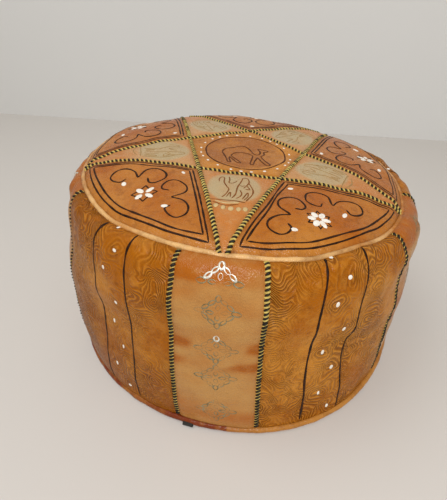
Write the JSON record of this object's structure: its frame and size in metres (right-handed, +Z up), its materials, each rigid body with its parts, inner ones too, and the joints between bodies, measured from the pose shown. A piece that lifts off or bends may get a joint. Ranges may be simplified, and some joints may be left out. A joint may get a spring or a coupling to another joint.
{
  "type": "leather pouf",
  "caption": "Low round leather pouf with a crowned star-patchwork top, laced seams, plain and tooled wall panels in turn, corded welts and a zip across the base.",
  "frame": {"origin": "on the floor, under the middle of the drum", "axes": "+Z up along the drum's axis, -Y towards the front point of the star"},
  "size_m": [0.42, 0.4219, 0.2309],
  "materials": {
    "leather_star": "satin, worn",
    "leather_tooled": "satin, embossed",
    "leather_cream": "satin, worn",
    "leather_welt": "satin, worn",
    "leather_base": "matte suede",
    "lacing_cord": "waxed, two-tone",
    "filling": "matte",
    "zip_cloth": "matte",
    "zip_metal": "aged"
  },
  "bodies": {
    "cover": {"centre_pentagon": "leather_star", "flower_panel_1": "leather_star", "flower_panel_2": "leather_star", "flower_panel_3": "leather_star", "flower_panel_4": "leather_star", "flower_panel_5": "leather_star", "tooled_side_panel_1": "leather_tooled", "tooled_side_panel_2": "leather_tooled", "tooled_side_panel_3": "leather_tooled", "tooled_side_panel_4": "leather_tooled", "tooled_side_panel_5": "leather_tooled", "star_point_1": "leather_cream", "star_point_2": "leather_cream", "star_point_3": "leather_cream", "star_point_4": "leather_cream", "star_point_5": "leather_cream", "plain_side_panel_1": "leather_cream", "plain_side_panel_2": "leather_cream", "plain_side_panel_3": "leather_cream", "plain_side_panel_4": "leather_cream", "plain_side_panel_5": "leather_cream", "top_welt": "leather_welt", "bottom_welt": "leather_welt", "base_half_right": "leather_base", "base_half_left": "leather_base", "pentagon_lacing_1": "lacing_cord", "pentagon_lacing_2": "lacing_cord", "pentagon_lacing_3": "lacing_cord", "pentagon_lacing_4": "lacing_cord", "pentagon_lacing_5": "lacing_cord", "point_lacing_1": "lacing_cord", "point_lacing_2": "lacing_cord", "point_lacing_3": "lacing_cord", "point_lacing_4": "lacing_cord", "point_lacing_5": "lacing_cord", "side_lacing_1": "lacing_cord", "side_lacing_2": "lacing_cord", "side_lacing_3": "lacing_cord", "side_lacing_4": "lacing_cord", "side_lacing_5": "lacing_cord", "side_lacing_6": "lacing_cord", "side_lacing_7": "lacing_cord", "side_lacing_8": "lacing_cord", "side_lacing_9": "lacing_cord", "side_lacing_10": "lacing_cord", "stuffing": "filling", "zip_tape_right": "zip_cloth", "zip_tape_left": "zip_cloth", "zip_end_tab": "zip_cloth", "zip_teeth_right": "zip_metal", "zip_teeth_left": "zip_metal", "zip_top_stops": "zip_metal", "zip_bottom_stop": "zip_metal"},
    "slider": {"zip_slider": "zip_metal"},
    "pull": {"zip_pull": "zip_metal"}
  },
  "joints": [
    {"name": "zip_slide", "type": "slide", "parent": "cover", "child": "slider", "axis": [0.1392, 0.9903, 0], "range_m": [0, 0.335], "deforming": ["zip_teeth_right", "zip_teeth_left"]},
    {"name": "pull_swing", "type": "hinge", "parent": "slider", "child": "pull", "pos_m": [-0.02317, -0.16488, 0.00184], "axis": [-0.9903, 0.1392, 0], "range_deg": [0, 150]}
  ]
}
